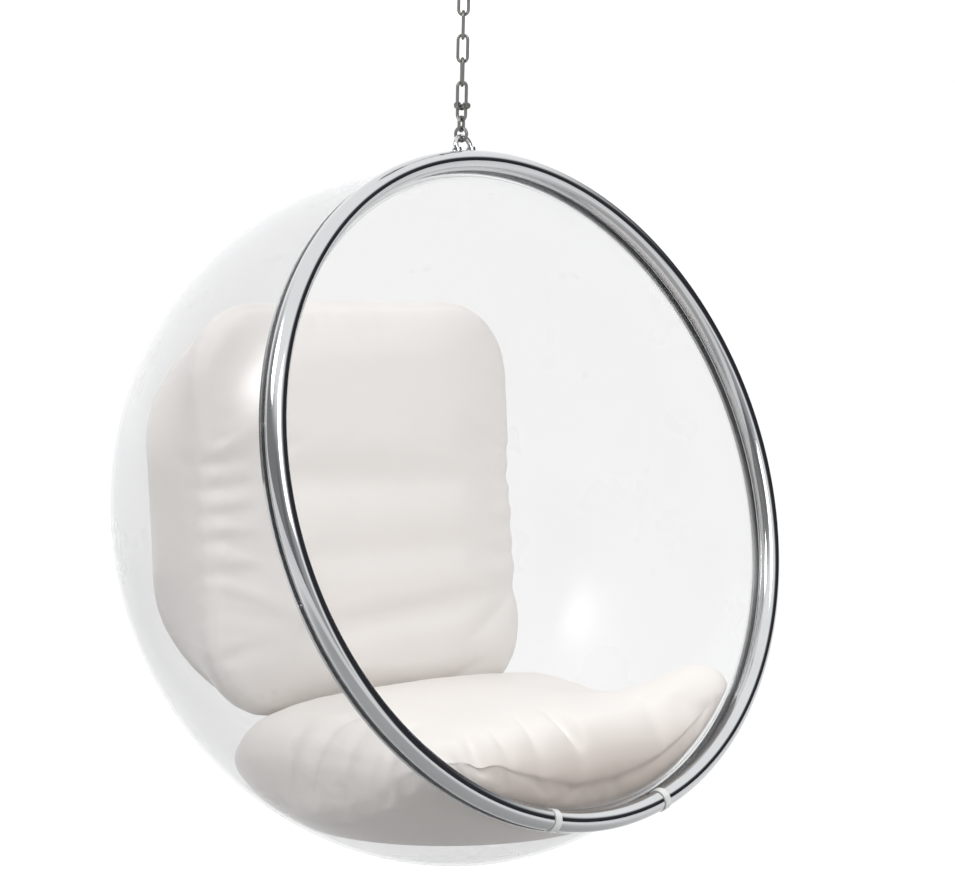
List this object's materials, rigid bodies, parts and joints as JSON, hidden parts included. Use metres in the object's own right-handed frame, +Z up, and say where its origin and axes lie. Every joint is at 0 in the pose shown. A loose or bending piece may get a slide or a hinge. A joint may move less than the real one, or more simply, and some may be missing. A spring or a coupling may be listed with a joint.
{
  "type": "hanging bubble chair",
  "caption": "Clear bubble chair with a polished steel rim and loose seat and back cushions, hung by a chain from a ceiling swivel.",
  "frame": {"origin": "centre of the ceiling plate's top face, where it meets the ceiling", "axes": "+Z up into the ceiling, -Y out of the mouth of the bubble, +X to the sitter's left"},
  "size_m": [1.0958, 0.8619, 1.4346],
  "materials": {
    "mount_steel": "satin",
    "bearing_steel": "satin",
    "chain_steel": "bright zinc",
    "polished_steel": "mirror polish",
    "seal_rubber": "matte",
    "clear_acrylic": "clear gloss",
    "clip_plastic": "clear gloss",
    "cushion_cloth": "satin weave",
    "foam": "open cell"
  },
  "bodies": {
    "ceiling_mount": {"ceiling_plate": "mount_steel", "swivel_housing": "mount_steel", "thrust_bearing": "bearing_steel"},
    "swivel": {"swivel_eye": "chain_steel", "swivel_nut": "bearing_steel"},
    "link_1": {"chain_link_1": "chain_steel"},
    "lower_chain": {"chain_link_2": "chain_steel", "chain_link_3": "chain_steel", "chain_link_4": "chain_steel", "chain_link_5": "chain_steel"},
    "shackle": {"shackle_bow": "chain_steel", "shackle_pin": "chain_steel", "connector_link": "chain_steel", "round_ring": "chain_steel"},
    "chair": {"hanger_bow": "polished_steel", "hanger_collars": "polished_steel", "rim_ring": "polished_steel", "rim_seal": "seal_rubber", "bubble_shell": "clear_acrylic", "clamp_ring_left": "polished_steel", "clamp_ring_right": "polished_steel", "rim_screws": "polished_steel", "rim_clips": "clip_plastic", "seat_cover": "cushion_cloth", "seat_foam": "foam", "back_cover": "cushion_cloth", "back_foam": "foam"}
  },
  "joints": [
    {"name": "swivel_spin", "type": "hinge", "parent": "ceiling_mount", "child": "swivel", "pos_m": [0, 0, 0], "axis": [0, 0, 1], "continuous": true},
    {"name": "link_1_swing", "type": "hinge", "parent": "swivel", "child": "link_1", "pos_m": [0, 0, -0.076], "axis": [0.7193, 0.6947, 0], "range_deg": [-20, 20]},
    {"name": "chain_swing", "type": "hinge", "parent": "link_1", "child": "lower_chain", "pos_m": [0, 0, -0.1107], "axis": [0.6947, -0.7193, 0], "range_deg": [-20, 20]},
    {"name": "shackle_turn", "type": "hinge", "parent": "lower_chain", "child": "shackle", "pos_m": [0, 0, -0.2502], "axis": [0, 1, 0], "range_deg": [-12, 12]},
    {"name": "chair_rock", "type": "hinge", "parent": "shackle", "child": "chair", "pos_m": [0, 0, -0.2983], "axis": [1, 0, 0], "range_deg": [-12, 12]}
  ]
}
